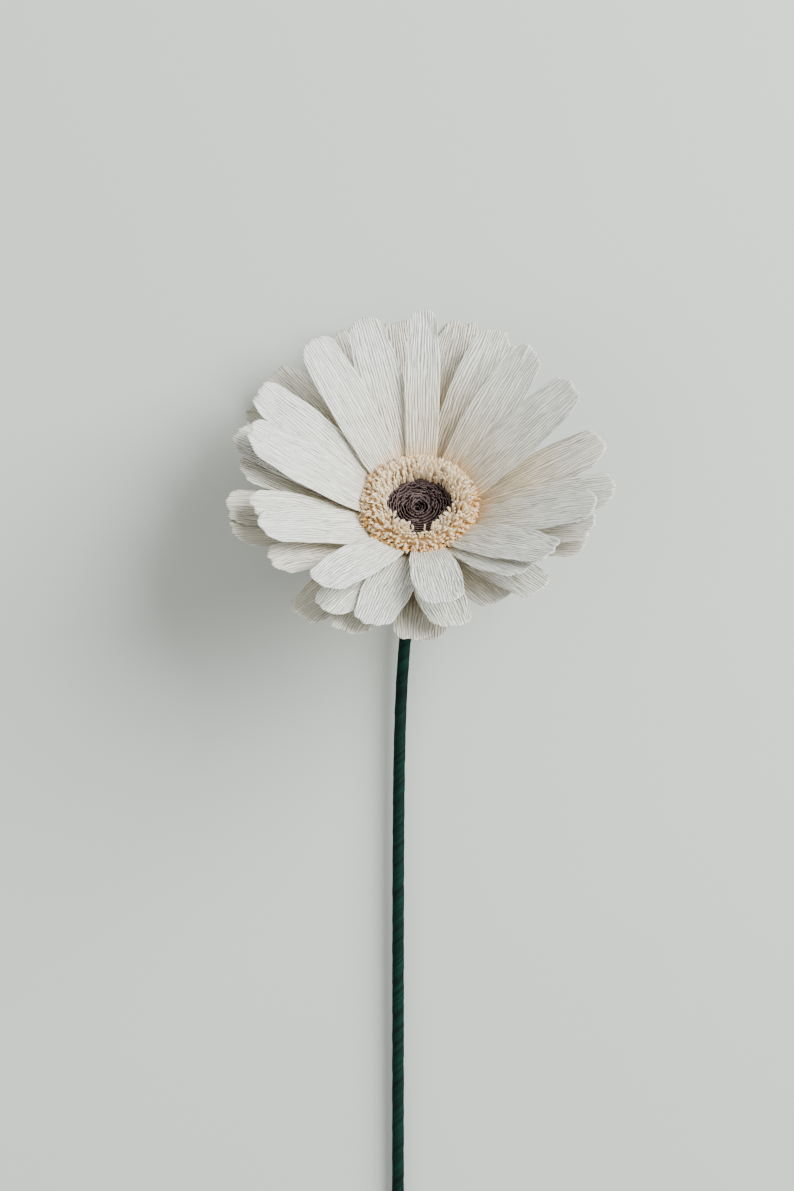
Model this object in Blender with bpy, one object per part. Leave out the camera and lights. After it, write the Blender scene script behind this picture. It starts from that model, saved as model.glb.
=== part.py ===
# Crepe-paper daisy on a taped floral wire, lying face up on a table.
# Metres. +Z up. +Y runs from the cut end of the stem to the flower head.

import math

import bmesh
import bpy
from mathutils import Matrix, Vector

MM = 0.001

# How the head sits: its axis leans back from straight up, towards +Y
HEAD_TILT_DEG = 34.0
HEAD_LEAN_DEG = 2.4

# Paper
PETAL_THICKNESS = 0.3
FRINGE_TEETH_OUTER = 30
FRINGE_TEETH_INNER = 24
FRINGE_SLIT_SHARE = 0.22

# Petal feet stand in six rings round the fringes, each a step out and down
FOOT_RADIUS = 8.0
FOOT_HEIGHT = -13.5
RING_STEP = 0.6
FOOT_STRAIGHT = 2.0
FOOT_BEND = 7.0
FOOT_WIDTH_PER_RADIUS = 0.53
TIP_CURL_DEG = 8.0
TIP_NARROWING = 0.12
TIP_ROUNDING = 0.42
BLADE_CUP = 0.012
PETAL_CELLS_ACROSS = 4
FOOT_ROWS = (0.0, 3.0, 5.2, 7.4, 10.0)
BLADE_ROWS = (0.27, 0.52, 0.75, 0.9, 1.0)

# One petal each: ring (0 is the innermost and uppermost), turn round the head
# in degrees, rise of the blade in degrees, length, widest width, sideways sway
PETALS = {
    "petal_01": (0, 25, 37.0, 57.0, 14.5, 0.0),
    "petal_02": (0, 86, 38.0, 58.0, 10.0, 0.0),
    "petal_03": (0, 125, 37.5, 57.5, 13.5, 0.0),
    "petal_04": (0, 170, 39.0, 56.0, 15.5, 0.0),
    "petal_05": (0, 237, 35.5, 58.0, 14.0, 0.0),
    "petal_06": (0, 276, 36.0, 58.0, 14.5, 0.0),
    "petal_07": (0, 314, 37.0, 58.5, 14.0, 0.0),
    "petal_08": (1, 47, 37.0, 55.5, 14.0, 0.0),
    "petal_09": (1, 106, 36.5, 57.5, 13.0, 0.0),
    "petal_10": (1, 150, 35.0, 57.0, 14.0, 0.0),
    "petal_11": (1, 205, 35.0, 54.0, 14.5, 0.0),
    "petal_12": (1, 254, 28.5, 57.0, 13.5, 0.0),
    "petal_13": (1, 306, 36.0, 54.0, 13.5, 0.0),
    "petal_14": (1, 340, 33.0, 56.0, 14.0, 0.0),
    "petal_15": (2, 63, 28.0, 56.0, 14.0, 0.0),
    "petal_16": (2, 164, 32.0, 56.0, 14.0, 2.5),
    "petal_17": (2, 196, 35.0, 52.5, 13.5, -2.0),
    "petal_18": (2, 240, 28.5, 55.5, 14.0, 0.0),
    "petal_19": (2, 275, 28.5, 55.0, 14.0, 3.0),
    "petal_20": (2, 309, 28.5, 55.0, 13.5, -2.0),
    "petal_21": (3, 110, 24.5, 56.5, 13.5, 0.0),
    "petal_22": (3, 174, 31.0, 52.0, 13.5, 0.0),
    "petal_23": (3, 214, 29.0, 51.0, 14.0, 0.0),
    "petal_24": (3, 247, 25.0, 56.0, 14.0, 0.0),
    "petal_25": (3, 297, 26.5, 45.5, 13.5, 0.0),
    "petal_26": (3, 337, 28.0, 52.5, 13.5, 0.0),
    "petal_27": (4, 94, 22.7, 56.0, 14.0, 0.0),
    "petal_28": (4, 153, 31.0, 54.5, 13.5, 0.0),
    "petal_29": (4, 188, 27.0, 54.5, 14.0, 0.0),
    "petal_30": (4, 232, 23.0, 54.0, 14.0, 0.0),
    "petal_31": (4, 266, 25.0, 52.5, 13.0, 0.0),
    "petal_32": (2, 350, 28.0, 57.0, 14.0, 0.0),
    "petal_33": (3, 9, 27.0, 53.5, 15.0, 0.0),
    "petal_34": (5, 75, 22.7, 56.5, 14.5, 0.0),
    "petal_35": (5, 134, 24.0, 55.0, 14.0, 0.0),
    "petal_36": (5, 196, 26.5, 53.5, 13.5, 0.0),
    "petal_37": (5, 270, 24.0, 50.0, 13.0, 0.0),
    "petal_38": (5, 334, 26.0, 49.5, 13.5, 0.0),
}

# Turned outlines, each point a radius and a height above the disc's face
ROLL_OUTLINE = (
    (1.1, -7.2), (1.1, -13.2), (5.5, -13.2), (5.5, -9.0), (5.9, -6.2), (7.0, -4.2),
    (7.9, -2.8), (7.9, -2.0), (7.2, -2.5), (6.7, -1.9), (6.0, -2.5), (5.4, -1.9),
    (4.6, -2.6), (4.0, -2.0), (3.2, -2.8), (2.6, -2.4), (1.8, -3.2), (1.2, -3.0),
)
ROLL_MIDDLE = -3.6
ROLL_BORE_END = -7.2
ROLL_SEGMENTS = 32
INNER_FRINGE = (
    ((5.9, -13.2), (5.9, -9.1), (6.3, -6.0), (7.7, -3.5), (9.0, -1.0), (9.6, 1.8)),
    ((6.5, -13.2), (6.5, -9.4), (6.9, -6.6), (8.35, -4.2), (11.0, -1.0), (12.8, 2.2)),
)
OUTER_FRINGE = (
    ((6.8, -13.2), (6.8, -9.6), (7.2, -6.9), (8.6, -4.6), (11.4, -1.5), (13.2, 1.9)),
    ((7.4, -13.2), (7.3, -10.0), (7.75, -7.3), (9.15, -5.3), (12.4, -2.3), (15.8, 0.8)),
)

# Green crepe cup under the petals
CALYX_FLOOR = ((2.0, -19.6), (6.0, -18.2), (11.4, -16.9))
CALYX_WALL = ((11.8, -14.6), (13.1, -12.8))
CALYX_THICKNESS = 0.4
CALYX_POINTS = 16
CALYX_POINT_HEIGHT = 1.6

# Wire and tape
WIRE_RADIUS = 0.8
WIRE_TOP = -7.7
TAPE_INNER_RADIUS = 1.1
TAPE_OUTER_RADIUS = 1.65
TAPE_TOP = -19.9
STEM_BEND_RADIUS = 7.0
STEM_BEND_STEPS = 8
STEM_REACH = 299.0
STEM_DRIFT = -6.0
STEM_DRIFT_LENGTH = 20.0
STEM_BLEND = 18.0
STEM_DRIFT_START = 17.0
STEM_STEP = 14.0
STEM_SEGMENTS = 12

HEAD_TURN = Matrix.Rotation(math.radians(HEAD_LEAN_DEG), 4, "Z") @ Matrix.Rotation(
    math.radians(-HEAD_TILT_DEG), 4, "X"
)


def clear_scene():
    for old in list(bpy.data.objects):
        bpy.data.objects.remove(old, do_unlink=True)


def make_material(name, colour, roughness):
    material = bpy.data.materials.new(name)
    material.use_nodes = True
    shader = material.node_tree.nodes["Principled BSDF"]
    shader.inputs["Base Color"].default_value = (*colour, 1.0)
    shader.inputs["Roughness"].default_value = roughness
    shader.inputs["Metallic"].default_value = 0.0
    return material


def make_object(name, bm, material, smooth=True):
    bmesh.ops.recalc_face_normals(bm, faces=bm.faces)
    mesh = bpy.data.meshes.new(name)
    bm.to_mesh(mesh)
    bm.free()
    mesh.materials.append(material)
    for polygon in mesh.polygons:
        polygon.use_smooth = smooth
    made = bpy.data.objects.new(name, mesh)
    bpy.context.scene.collection.objects.link(made)
    return made


def smooth_ramp(value):
    value = min(1.0, max(0.0, value))
    return value * value * (3.0 - 2.0 * value)


def petal_path(ring, rise_deg, length):
    """Radius, height and slope every half millimetre from foot to tip."""
    steps = int(length / 0.5) + 1
    radius = FOOT_RADIUS + RING_STEP * ring
    height = FOOT_HEIGHT - RING_STEP * ring
    rise = math.radians(rise_deg)
    curl = math.radians(TIP_CURL_DEG)
    path = []
    for index in range(steps + 1):
        run = index * 0.5
        bend = smooth_ramp((run - FOOT_STRAIGHT) / FOOT_BEND)
        along = max(0.0, (run - FOOT_STRAIGHT - FOOT_BEND) / (length - FOOT_STRAIGHT - FOOT_BEND))
        slope = math.pi / 2 + (rise + curl / 2 - math.pi / 2) * bend - curl * along
        path.append((radius, height, slope))
        radius += 0.5 * math.cos(slope)
        height += 0.5 * math.sin(slope)
    return path


def path_at(path, run):
    place = min(max(run / 0.5, 0.0), len(path) - 1.001)
    index = int(place)
    part = place - index
    before, after = path[index], path[index + 1]
    return tuple(a + (b - a) * part for a, b in zip(before, after))


def petal_half_width(radius, share, widest):
    foot = 0.5 * FOOT_WIDTH_PER_RADIUS * radius
    blade = 0.5 * widest
    half = (foot**-4 + blade**-4) ** -0.25
    narrowing = smooth_ramp((share - 0.7) / 0.3)
    return half * (1.0 - TIP_NARROWING * narrowing)


def petal_point(path, ring, length, widest, sway, across, share, lift):
    """A point of the blade: across -1 to 1, share 0 at the foot to 1 at the tip."""
    corner = (1.0 - abs(across) ** 2.6 * 0.98) ** (1 / 2.6)
    tip_share = max(0.0, (share - 0.55) / 0.45)
    run = share * length - TIP_ROUNDING * widest * (1.0 - corner) * tip_share**2
    radius, height, slope = path_at(path, run)
    side = across * petal_half_width(radius, share, widest)
    spread = smooth_ramp((run - 4.0) / 9.0)
    foot_curve = 1.0 / (FOOT_RADIUS + RING_STEP * ring)
    curve = foot_curve * (1.0 - spread) + BLADE_CUP * spread
    rise = 0.5 * curve * side * side + lift
    sideways = sway * max(0.0, (run - 12.0) / (length - 12.0)) ** 2
    return Vector(
        (
            radius - math.sin(slope) * rise,
            side + sideways,
            height + math.cos(slope) * rise,
        )
    )


def cell_solid(corner, columns, rows, present, closed_round=False):
    """Closed skin of a sheet of cells: corner(i, j, k) gives each point,
    k is 0 for the lower face and 1 for the upper one."""
    bm = bmesh.new()
    verts = {}

    def vert(i, j, k):
        key = (i % columns if closed_round else i, j, k)
        if key not in verts:
            verts[key] = bm.verts.new(corner(*key))
        return verts[key]

    def filled(i, j):
        if closed_round:
            i %= columns
        return 0 <= i < columns and 0 <= j < rows and present(i, j)

    for i in range(columns):
        for j in range(rows):
            if not filled(i, j):
                continue
            ring = ((i, j), (i + 1, j), (i + 1, j + 1), (i, j + 1))
            bm.faces.new([vert(a, b, 1) for a, b in ring])
            bm.faces.new([vert(a, b, 0) for a, b in reversed(ring)])
            beyond = ((i, j - 1), (i + 1, j), (i, j + 1), (i - 1, j))
            for edge in range(4):
                if filled(*beyond[edge]):
                    continue
                a, b = ring[edge], ring[(edge + 1) % 4]
                bm.faces.new([vert(*b, 1), vert(*a, 1), vert(*a, 0), vert(*b, 0)])
    return bm


def build_petal(name, material):
    ring, turn, rise, length, widest, sway = PETALS[name]
    path = petal_path(ring, rise, length)
    last_foot = FOOT_ROWS[-1]
    runs = list(FOOT_ROWS) + [last_foot + (length - last_foot) * row for row in BLADE_ROWS]

    def corner(i, j, k):
        across = 2.0 * i / PETAL_CELLS_ACROSS - 1.0
        lift = (k - 0.5) * PETAL_THICKNESS
        return petal_point(path, ring, length, widest, sway, across, runs[j] / length, lift) * MM

    bm = cell_solid(corner, PETAL_CELLS_ACROSS, len(runs) - 1, lambda i, j: True)
    made = make_object(name, bm, material)
    made.matrix_world = HEAD_TURN @ Matrix.Rotation(math.radians(turn), 4, "Z")
    return made


def build_fringe(name, walls, teeth, material):
    """A turned ring slit from its upper edge into teeth."""
    inner, outer = walls
    rows = len(inner) - 1

    def corner(i, j, k):
        tooth = i // 2
        turn = (tooth + (i % 2) * (1.0 - FRINGE_SLIT_SHARE)) * math.tau / teeth
        radius, height = (inner, outer)[1 - k][j]
        return Vector((radius * math.cos(turn), radius * math.sin(turn), height)) * MM

    def present(i, j):
        return j < 2 or i % 2 == 0

    bm = cell_solid(corner, 2 * teeth, rows, present, closed_round=True)
    made = make_object(name, bm, material, smooth=False)
    made.matrix_world = HEAD_TURN.copy()
    return made


def build_roll(name, material):
    bm = bmesh.new()
    outline = [(0.0, ROLL_BORE_END), *ROLL_OUTLINE, (0.0, ROLL_MIDDLE)]
    verts = [bm.verts.new((radius * MM, 0.0, height * MM)) for radius, height in outline]
    edges = [bm.edges.new(pair) for pair in zip(verts, verts[1:])]
    bmesh.ops.spin(
        bm,
        geom=verts + edges,
        cent=(0, 0, 0),
        axis=(0, 0, 1),
        angle=math.tau,
        steps=ROLL_SEGMENTS,
        use_merge=True,
    )
    bmesh.ops.remove_doubles(bm, verts=bm.verts, dist=1e-7)
    made = make_object(name, bm, material)
    made.matrix_world = HEAD_TURN.copy()
    return made


def build_calyx(name, material):
    """A thin cup with a hole for the stem and a rim cut into points."""
    levels = [*CALYX_FLOOR, *CALYX_WALL]
    columns = 2 * CALYX_POINTS
    last = len(levels) - 1

    def corner(i, j, k):
        radius, height = levels[j]
        down = CALYX_THICKNESS * (1 - k)
        if j < len(CALYX_FLOOR) - 1:
            height -= down
        elif j == len(CALYX_FLOOR) - 1:
            radius += down
            height -= down
        else:
            radius += down
        if j == last:
            rise = CALYX_POINT_HEIGHT * (i % 2)
            height += rise
            radius += 1.3 * rise
        turn = i * math.tau / columns
        return Vector((radius * math.cos(turn), radius * math.sin(turn), height)) * MM

    bm = cell_solid(corner, columns, last, lambda i, j: True, closed_round=True)
    made = make_object(name, bm, material)
    made.matrix_world = HEAD_TURN.copy()
    return made


def stem_path(top):
    """Centre line in millimetres from a height on the head's axis to the cut end."""
    axis = (HEAD_TURN @ Vector((0, 0, 1))).normalized()
    knee = axis * TAPE_TOP
    points = [axis * top, knee] if top > TAPE_TOP else [knee]
    drop = math.asin(axis.z)
    flat = Vector((-axis.x, -axis.y, 0)).normalized()
    up = Vector((0, 0, 1))
    centre = knee + STEM_BEND_RADIUS * (flat * math.sin(drop) + up * math.cos(drop))
    for index in range(1, STEM_BEND_STEPS + 1):
        angle = drop * (1 - index / STEM_BEND_STEPS)
        spoke = flat * math.sin(angle) + up * math.cos(angle)
        points.append(centre - STEM_BEND_RADIUS * spoke)
    return points


def stem_tail(points, table):
    """Carry the centre line on along the table to the cut end."""
    last = points[-1]
    end_y = -STEM_REACH
    end_z = table + TAPE_OUTER_RADIUS
    tail = []
    run = int((last.y - end_y) / STEM_STEP)
    for index in range(1, run + 1):
        share = index / run
        y = last.y + (end_y - last.y) * share
        drift = STEM_DRIFT * (1 - math.exp(-max(0.0, -y - STEM_DRIFT_START) / STEM_DRIFT_LENGTH))
        x = last.x + (drift - last.x) * smooth_ramp((last.y - y) / STEM_BLEND)
        tail.append(Vector((x, y, last.z + (end_z - last.z) * share)))
    return points + tail


def ring_on_path(bm, points, index, radius):
    before = points[max(index - 1, 0)]
    after = points[min(index + 1, len(points) - 1)]
    along = (after - before).normalized()
    side = along.cross(Vector((0, 0, 1)))
    if side.length < 1e-6:
        side = Vector((1, 0, 0))
    side.normalize()
    up = side.cross(along)
    ring = []
    for step in range(STEM_SEGMENTS):
        turn = step * math.tau / STEM_SEGMENTS
        spoke = side * math.cos(turn) + up * math.sin(turn)
        ring.append(bm.verts.new((points[index] + spoke * radius) * MM))
    return ring


def skin_rings(bm, rings):
    for lower, upper in zip(rings, rings[1:]):
        for step in range(STEM_SEGMENTS):
            following = (step + 1) % STEM_SEGMENTS
            bm.faces.new((lower[step], lower[following], upper[following], upper[step]))


def build_wire(name, points, material):
    bm = bmesh.new()
    rings = [ring_on_path(bm, points, index, WIRE_RADIUS) for index in range(len(points))]
    skin_rings(bm, rings)
    bm.faces.new(rings[0])
    bm.faces.new(rings[-1])
    return make_object(name, bm, material)


def build_tape(name, points, material):
    bm = bmesh.new()
    count = len(points)
    outer = [ring_on_path(bm, points, index, TAPE_OUTER_RADIUS) for index in range(count)]
    inner = [ring_on_path(bm, points, index, TAPE_INNER_RADIUS) for index in range(count)]
    skin_rings(bm, outer + inner[::-1] + [outer[0]])
    return make_object(name, bm, material)


def lowest_height(objects):
    return min((made.matrix_world @ v.co).z for made in objects for v in made.data.vertices)


def settle_on_table(objects):
    """Put the middle of the flower's footprint at the origin, resting on z = 0."""
    bpy.context.view_layer.update()
    corners = [made.matrix_world @ v.co for made in objects for v in made.data.vertices]
    low = Vector([min(c[axis] for c in corners) for axis in range(3)])
    high = Vector([max(c[axis] for c in corners) for axis in range(3)])
    shift = Vector((-(low.x + high.x) / 2, -(low.y + high.y) / 2, -low.z))
    for made in objects:
        made.location = made.location + shift


def main():
    clear_scene()
    ivory = make_material("petal_paper", (0.86, 0.83, 0.76), 0.85)
    cream = make_material("inner_fringe_paper", (0.87, 0.78, 0.6), 0.85)
    peach = make_material("outer_fringe_paper", (0.87, 0.66, 0.42), 0.85)
    brown = make_material("roll_paper", (0.045, 0.022, 0.022), 0.8)
    green = make_material("calyx_paper", (0.03, 0.12, 0.07), 0.8)
    tape = make_material("stem_tape", (0.006, 0.075, 0.05), 0.55)
    steel = make_material("stem_wire", (0.5, 0.5, 0.5), 0.35)
    steel.node_tree.nodes["Principled BSDF"].inputs["Metallic"].default_value = 1.0

    petals = [build_petal(name, ivory) for name in PETALS]
    head = [
        build_roll("centre_roll", brown),
        build_fringe("inner_fringe", INNER_FRINGE, FRINGE_TEETH_INNER, cream),
        build_fringe("outer_fringe", OUTER_FRINGE, FRINGE_TEETH_OUTER, peach),
        build_calyx("calyx", green),
    ]
    bpy.context.view_layer.update()
    table = lowest_height(petals) / MM
    wire_points = stem_tail(stem_path(WIRE_TOP), table)
    tape_points = stem_tail(stem_path(TAPE_TOP), table)
    stem = [
        build_wire("stem_wire", wire_points, steel),
        build_tape("stem_tape", tape_points, tape),
    ]
    settle_on_table(petals + head + stem)


main()
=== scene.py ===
import math
import random

import bmesh
import bpy
from mathutils import Matrix, Vector, noise


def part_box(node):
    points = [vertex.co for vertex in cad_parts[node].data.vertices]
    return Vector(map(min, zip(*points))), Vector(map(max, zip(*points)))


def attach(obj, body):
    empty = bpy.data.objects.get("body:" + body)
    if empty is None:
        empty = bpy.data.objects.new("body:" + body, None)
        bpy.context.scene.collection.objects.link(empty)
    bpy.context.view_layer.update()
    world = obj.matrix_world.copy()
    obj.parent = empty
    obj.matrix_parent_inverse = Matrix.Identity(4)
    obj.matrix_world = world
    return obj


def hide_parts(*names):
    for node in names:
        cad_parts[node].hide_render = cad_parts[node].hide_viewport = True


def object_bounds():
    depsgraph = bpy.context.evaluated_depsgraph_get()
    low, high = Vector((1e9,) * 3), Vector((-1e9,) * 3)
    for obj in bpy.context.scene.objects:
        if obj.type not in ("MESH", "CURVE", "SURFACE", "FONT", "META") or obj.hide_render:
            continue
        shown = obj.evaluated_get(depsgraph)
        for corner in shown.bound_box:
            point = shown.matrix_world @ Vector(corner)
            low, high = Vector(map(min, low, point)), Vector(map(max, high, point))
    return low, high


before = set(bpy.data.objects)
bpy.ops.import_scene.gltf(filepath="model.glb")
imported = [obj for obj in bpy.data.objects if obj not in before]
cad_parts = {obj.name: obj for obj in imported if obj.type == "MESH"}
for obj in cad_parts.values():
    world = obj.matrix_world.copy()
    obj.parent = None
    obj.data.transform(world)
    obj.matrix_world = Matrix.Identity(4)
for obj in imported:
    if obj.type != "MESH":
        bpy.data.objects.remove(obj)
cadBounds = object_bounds()
mm = 0.001
tau = math.tau

# all sizes below are in millimetres and all angles in degrees
# the head's disc faces up, leaning towards +Y; its place is measured from the part's box
head = {
    "tilt": 34.0,
    "lean": 2.4,
    "fromFarEdge": 54.62,  # from the box's +Y side
    "fromMiddle": -0.07,  # from the box's middle in X
    "aboveTable": 23.86,
}
headAt = Vector((
    (cadBounds[0].x + cadBounds[1].x) / 2 + head["fromMiddle"] * mm,
    cadBounds[1].y - head["fromFarEdge"] * mm,
    cadBounds[0].z + head["aboveTable"] * mm,
))
headTurn = (
    Matrix.Rotation(math.radians(head["lean"]), 4, "Z")
    @ Matrix.Rotation(math.radians(-head["tilt"]), 4, "X")
)
headPlace = Matrix.Translation(headAt) @ headTurn
headAxis = (headTurn @ Vector((0, 0, 1))).normalized()


# camera
view = {"height": 1000.0, "lens": 107.95, "right": -6.3, "down": -26.2}


def addCamera():
    data = bpy.data.cameras.new("camera")
    data.lens = view["lens"]
    data.clip_start = 0.05
    camera = bpy.data.objects.new("camera", data)
    camera.location = headAt + Vector((view["right"], view["down"], view["height"])) * mm
    bpy.context.scene.collection.objects.link(camera)
    bpy.context.scene.camera = camera


addCamera()


# shader maths
class Graph:
    def __init__(self, name):
        self.material = bpy.data.materials.new(name)
        self.material.use_nodes = True
        self.tree = self.material.node_tree
        self.shader = self.tree.nodes["Principled BSDF"]
        self.output = self.tree.nodes["Material Output"]

    def add(self, kind, settings=None, **values):
        node = self.tree.nodes.new(kind)
        for key, value in (settings or {}).items():
            setattr(node, key, value)
        for key, value in values.items():
            self.feed(node, key, value)
        return node

    def feed(self, node, key, value):
        wanted = key.replace("_", " ")
        socket = node.inputs[int(key[1:])] if key[1:].isdigit() else node.inputs[wanted]
        if isinstance(value, Val):
            self.tree.links.new(value.socket, socket)
        else:
            socket.default_value = value

    def val(self, node, output=0):
        return Val(self, node.outputs[output])

    def set(self, **values):
        for key, value in values.items():
            self.feed(self.shader, key, value)

    def mixColour(self, factor, first, second, blend="MIX"):
        node = self.add("ShaderNodeMix", {"data_type": "RGBA", "blend_type": blend})
        for index, value in ((0, factor), (6, first), (7, second)):
            self.feed(node, f"i{index}", value)
        return self.val(node, 2)

    def ramp(self, value, low, high, start=0.0, end=1.0):
        node = self.add(
            "ShaderNodeMapRange", {"interpolation_type": "SMOOTHSTEP"},
            Value=value, From_Min=low, From_Max=high, To_Min=start, To_Max=end,
        )
        return self.val(node)

    def scaled(self, vector, factors):
        node = self.add("ShaderNodeVectorMath", {"operation": "MULTIPLY"}, i0=vector, i1=factors)
        return self.val(node)

    def noise(self, vector, scale, detail=2.0, rough=0.5, distort=0.0):
        node = self.add(
            "ShaderNodeTexNoise", Vector=vector, Scale=scale, Detail=detail,
            Roughness=rough, Distortion=distort,
        )
        return self.val(node)


# a socket that does arithmetic
class Val:
    def __init__(self, graph, socket):
        self.graph = graph
        self.socket = socket

    def maths(self, operation, first, second=0.0):
        node = self.graph.add("ShaderNodeMath", {"operation": operation}, i0=first, i1=second)
        return self.graph.val(node)

    def __add__(self, other):
        return self.maths("ADD", self, other)

    def __radd__(self, other):
        return self.maths("ADD", other, self)

    def __sub__(self, other):
        return self.maths("SUBTRACT", self, other)

    def __rsub__(self, other):
        return self.maths("SUBTRACT", other, self)

    def __mul__(self, other):
        return self.maths("MULTIPLY", self, other)

    def __rmul__(self, other):
        return self.maths("MULTIPLY", other, self)

    def __truediv__(self, other):
        return self.maths("DIVIDE", self, other)

    def sine(self):
        return self.maths("SINE", self)


# what every crepe paper shares: how often a pattern changes across and along the ridges,
# and the bands of height or patch over which a colour takes over
crepe = {
    "wanderGrain": (0.3, 0.07, 1.0),
    "fineAlong": 0.1,
    "fineScale": 1.6,
    "fibreGrain": (9.0, 5.0, 1.0),
    "fibreShare": 0.08,
    "patchGrain": (0.12, 0.05, 1.0),
    "crestBand": (0.22, 0.6),
    "patchBand": (0.35, 0.7),
    "roughSpread": 0.15,
    "gloss": 0.2,
}


# crepe paper: wandering ridges along the grain, read from the UV map in millimetres, with painted
# shade that darkens the colour from crest to valley
def crepeMaterial(name, look):
    g = Graph(name)
    uv = g.val(g.add("ShaderNodeTexCoord"), 2)
    parts = g.add("ShaderNodeSeparateXYZ", Vector=uv)
    across, along = g.val(parts, 0), g.val(parts, 1)
    wander = g.noise(g.scaled(uv, crepe["wanderGrain"]), 1.0, 3.0)
    wave = ((across / look["pitch"] + wander * look["wander"]) * tau).sine() * 0.5 + 0.5
    fineGrain = (1.0 / look["pitch"], crepe["fineAlong"], 1.0)
    fine = g.noise(g.scaled(uv, fineGrain), crepe["fineScale"], 4.0, 0.6, 0.3)
    fibre = g.noise(g.scaled(uv, crepe["fibreGrain"]), 1.0, 3.0, 0.7)
    ridge = wave * look["waveShare"] + fine * (1.0 - look["waveShare"])
    ridge = ridge + fibre * crepe["fibreShare"]
    patch = g.noise(g.scaled(uv, crepe["patchGrain"]), 1.0, 2.0)
    patched = g.ramp(patch, *crepe["patchBand"], 0.0, look["patchAmount"])
    # painted shade: the valley colour fills the low parts of the ridges, the same height that feeds
    # the bump
    colour = g.mixColour(g.ramp(ridge, *crepe["crestBand"]), look["valleyShade"], look["crest"])
    colour = g.mixColour(patched, colour, look["patch"])
    return g, along, ridge, colour, fibre


# paper lets some light through, of one colour all over
def finishPaper(g, look, colour, ridge, fibre):
    bump = g.add(
        "ShaderNodeBump", Strength=look["bump"], Distance=look["depth"] * mm, Height=ridge
    )
    normal = g.val(bump)
    rough = fibre * crepe["roughSpread"] + look["rough"]
    g.set(Base_Color=colour, Roughness=rough, Normal=normal)
    g.shader.inputs["Specular IOR Level"].default_value = crepe["gloss"]
    if look["through"] > 0:
        thin = g.add("ShaderNodeBsdfTranslucent", Color=look["throughColour"], Normal=normal)
        both = g.add("ShaderNodeMixShader")
        both.inputs[0].default_value = look["through"]
        g.tree.links.new(g.shader.outputs[0], both.inputs[1])
        g.tree.links.new(thin.outputs[0], both.inputs[2])
        g.tree.links.new(both.outputs[0], g.output.inputs[0])
    return g.material


# a smooth step from 0 to 1
def ramp(value):
    value = min(1.0, max(0.0, value))
    return value * value * (3.0 - 2.0 * value)


def addPiece(name, bm, material, node, place=None, thickness=0.0):
    if place is not None:
        bmesh.ops.transform(bm, matrix=place, verts=bm.verts)
    mesh = bpy.data.meshes.new(name)
    bm.to_mesh(mesh)
    bm.free()
    mesh.materials.append(material)
    mesh.shade_smooth()
    piece = bpy.data.objects.new(name, mesh)
    bpy.context.scene.collection.objects.link(piece)
    if thickness:
        solid = piece.modifiers.new("thickness", "SOLIDIFY")
        solid.thickness = thickness
        solid.offset = 0.0
    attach(piece, "root")
    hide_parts(node)
    return piece


# faces between rings of corners that follow each other, without end caps
def skin(bm, rings, turnedOver=False):
    faces = []
    for low, high in zip(rings, rings[1:]):
        for a, b, c, d in zip(low, low[1:] + low[:1], high[1:] + high[:1], high):
            faces.append(bm.faces.new((a, d, c, b) if turnedOver else (a, b, c, d)))
    return faces


# give faces their UV map from one place for each vertex
def layGrain(faces, uvLayer, grain):
    for face in faces:
        for loop in face.loops:
            loop[uvLayer].uv = grain[loop.vert]


# petals: cup and foot shapes, then the tip's outline, then where the blade widens and moves
petal = {
    "footRadius": 8.0,
    "footHeight": -13.5,
    "ringStep": 0.6,
    "straight": 2.0,  # upright foot
    "bend": 7.0,  # length of the bend outward
    "curl": 8.0,  # how far the blade falls back
    "cup": 0.012,  # curvature across the blade
    "cupRange": (0.7, 1.6),
    "pathStep": 0.5,
    "widestFoot": 0.8,  # of its radius
    "footGap": 0.96,  # share of the room between two petals
    "tipFrom": 0.5,
    "narrowFrom": 0.7,
    "narrowOver": 0.3,
    "tipNarrowing": 0.15,
    "tipRounding": 0.46,
    "cornerPower": 2.4,
    "cornerFlat": 0.99,
    "slimBelow": 12.0,  # narrower petals have rounder tips
    "slimRounding": 0.35,
    "uneven": 1.4,
    "unevenScale": 2.4,
    "teeth": 0.2,
    "widthWander": 0.035,
    "spreadFrom": 5.0,
    "spreadOver": 15.0,
    "looseFrom": 12.0,
    "looseOver": 30.0,
    "thickness": 0.22,
    "ridgePitch": 0.86,
    "ridgeDepth": 0.15,
    "footRidge": 0.25,
    "paperStep": 40.0,  # each petal has its own place on the paper
    "flutter": 0.9,
    "flutterSize": 24.0,
    "columns": 58,
    "rows": 54,
}
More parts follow.
